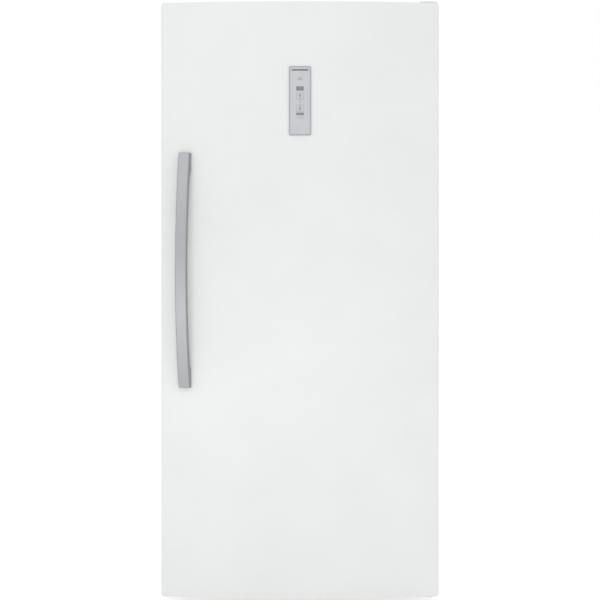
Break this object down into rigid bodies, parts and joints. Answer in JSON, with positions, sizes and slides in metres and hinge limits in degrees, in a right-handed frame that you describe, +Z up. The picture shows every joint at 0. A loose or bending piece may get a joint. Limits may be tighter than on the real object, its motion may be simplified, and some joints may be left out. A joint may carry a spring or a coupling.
{
  "type": "freezerless refrigerator",
  "caption": "Upright white refrigerator without a freezer: one bowed door hinged on the right, a long bowed handle and a slim control panel, with shelves, drawers and bins.",
  "frame": {"origin": "on the floor, below the centre of the whole refrigerator's box", "axes": "+Z up, +Y from the door to the back, +X to the right for a person who faces the door"},
  "size_m": [0.838, 0.733, 1.832],
  "materials": {
    "white_enamel": "gloss",
    "white_plastic": "gloss",
    "bare_steel": "satin",
    "grey_paint": "satin",
    "insulation_foam": "matte",
    "clear_glass": "gloss",
    "clear_plastic": "gloss",
    "milky_plastic": "satin",
    "circuit_board": "satin",
    "evaporator_aluminium": "satin",
    "grey_plastic": "satin",
    "fan_plastic": "satin",
    "motor_steel": "satin",
    "black_paint": "gloss",
    "black_rubber": "matte",
    "roller_nylon": "matte",
    "copper": "satin",
    "white_gasket": "matte",
    "ivory_nylon": "satin",
    "handle_silver": "satin",
    "panel_silver": "satin",
    "dark_window": "gloss"
  },
  "bodies": {
    "cabinet": {"left_side_panel": "white_enamel", "right_side_panel": "white_enamel", "top_panel": "white_enamel", "back_panel": "grey_paint", "base_rail": "bare_steel", "machine_deck": "bare_steel", "cabinet_foam": "insulation_foam", "cabinet_liner": "white_plastic", "shelf_frames": "white_plastic", "glass_panes": "clear_glass", "deli_cover": "white_plastic", "crisper_cover": "white_plastic", "light_lens": "milky_plastic", "light_board": "circuit_board", "evaporator_cover": "white_plastic", "evaporator": "evaporator_aluminium", "drain_trough": "grey_plastic", "fan_motors": "motor_steel", "compressor": "black_paint", "compressor_mounts": "black_rubber", "relay_cover": "fan_plastic", "condenser": "black_paint", "refrigerant_pipes": "copper", "drain_pan": "fan_plastic", "rear_cover": "grey_paint", "cord_gland": "black_rubber", "roller_brackets": "bare_steel", "top_hinge": "bare_steel", "hinge_cover": "white_plastic", "bottom_hinge": "bare_steel", "cabinet_screws": "bare_steel"},
    "door": {"door_skin": "white_enamel", "door_foam": "insulation_foam", "door_liner": "white_plastic", "door_end_caps": "white_plastic", "door_gasket": "white_gasket", "hinge_bushes": "ivory_nylon", "handle": "handle_silver", "handle_studs": "bare_steel", "panel_bezel": "panel_silver", "panel_window": "dark_window", "control_board": "circuit_board"},
    "up_button": {"up_button": "panel_silver"},
    "down_button": {"down_button": "panel_silver"},
    "mode_button": {"mode_button": "dark_window"},
    "top_door_bin": {"top_door_bin": "clear_plastic"},
    "upper_door_bin": {"upper_door_bin": "clear_plastic"},
    "lower_door_bin": {"lower_door_bin": "clear_plastic"},
    "bottom_door_bin": {"bottom_door_bin": "clear_plastic"},
    "left_crisper": {"left_crisper": "clear_plastic"},
    "right_crisper": {"right_crisper": "clear_plastic"},
    "deli_drawer": {"deli_drawer": "clear_plastic"},
    "left_humidity_slider": {"left_humidity_slider": "grey_plastic"},
    "right_humidity_slider": {"right_humidity_slider": "grey_plastic"},
    "evaporator_fan": {"evaporator_fan": "fan_plastic"},
    "condenser_fan": {"condenser_fan": "fan_plastic"},
    "left_roller": {"left_roller": "roller_nylon"},
    "right_roller": {"right_roller": "roller_nylon"},
    "left_leg": {"left_leg": "bare_steel"},
    "right_leg": {"right_leg": "bare_steel"}
  },
  "joints": [
    {"name": "door_hinge", "type": "hinge", "parent": "cabinet", "child": "door", "pos_m": [0.391, -0.2865, 0], "axis": [0, 0, 1], "range_deg": [0, 130]},
    {"name": "left_crisper_slide", "type": "slide", "parent": "cabinet", "child": "left_crisper", "axis": [0, -1, 0], "range_m": [0, 0.2]},
    {"name": "right_crisper_slide", "type": "slide", "parent": "cabinet", "child": "right_crisper", "axis": [0, -1, 0], "range_m": [0, 0.2]},
    {"name": "deli_drawer_slide", "type": "slide", "parent": "cabinet", "child": "deli_drawer", "axis": [0, -1, 0], "range_m": [0, 0.2]},
    {"name": "top_door_bin_lift", "type": "slide", "parent": "door", "child": "top_door_bin", "axis": [0, 0, 1], "range_m": [0, 0.03]},
    {"name": "upper_door_bin_lift", "type": "slide", "parent": "door", "child": "upper_door_bin", "axis": [0, 0, 1], "range_m": [0, 0.03]},
    {"name": "lower_door_bin_lift", "type": "slide", "parent": "door", "child": "lower_door_bin", "axis": [0, 0, 1], "range_m": [0, 0.03]},
    {"name": "bottom_door_bin_lift", "type": "slide", "parent": "door", "child": "bottom_door_bin", "axis": [0, 0, 1], "range_m": [0, 0.03]},
    {"name": "left_humidity_slide", "type": "slide", "parent": "cabinet", "child": "left_humidity_slider", "axis": [1, 0, 0], "range_m": [-0.015, 0.015]},
    {"name": "right_humidity_slide", "type": "slide", "parent": "cabinet", "child": "right_humidity_slider", "axis": [1, 0, 0], "range_m": [-0.015, 0.015]},
    {"name": "up_button_press", "type": "slide", "parent": "door", "child": "up_button", "axis": [0, 1, 0], "range_m": [0, 0.0008], "stiffness_N_per_m": 300, "springref_m": -0.002},
    {"name": "down_button_press", "type": "slide", "parent": "door", "child": "down_button", "axis": [0, 1, 0], "range_m": [0, 0.0008], "stiffness_N_per_m": 300, "springref_m": -0.002},
    {"name": "mode_button_press", "type": "slide", "parent": "door", "child": "mode_button", "axis": [0, 1, 0], "range_m": [0, 0.0008], "stiffness_N_per_m": 300, "springref_m": -0.002},
    {"name": "evaporator_fan_spin", "type": "hinge", "parent": "cabinet", "child": "evaporator_fan", "pos_m": [0, 0.2755, 0.8], "axis": [0, 1, 0], "continuous": true},
    {"name": "condenser_fan_spin", "type": "hinge", "parent": "cabinet", "child": "condenser_fan", "pos_m": [-0.005, 0.2415, 0.15], "axis": [1, 0, 0], "continuous": true},
    {"name": "left_roller_spin", "type": "hinge", "parent": "cabinet", "child": "left_roller", "pos_m": [-0.36, 0.3185, 0.02], "axis": [1, 0, 0], "continuous": true},
    {"name": "right_roller_spin", "type": "hinge", "parent": "cabinet", "child": "right_roller", "pos_m": [0.36, 0.3185, 0.02], "axis": [1, 0, 0], "continuous": true},
    {"name": "left_leg_turn", "type": "hinge", "parent": "cabinet", "child": "left_leg", "pos_m": [-0.33, -0.1665, 0.02], "axis": [0, 0, 1], "continuous": true},
    {"name": "right_leg_turn", "type": "hinge", "parent": "cabinet", "child": "right_leg", "pos_m": [0.33, -0.1665, 0.02], "axis": [0, 0, 1], "continuous": true}
  ],
  "couplings": [
    {"joint": "left_crisper_slide", "follows": "door_hinge", "m_per_rad": 0.088},
    {"joint": "right_crisper_slide", "follows": "door_hinge", "m_per_rad": 0.088},
    {"joint": "deli_drawer_slide", "follows": "door_hinge", "m_per_rad": 0.088}
  ]
}
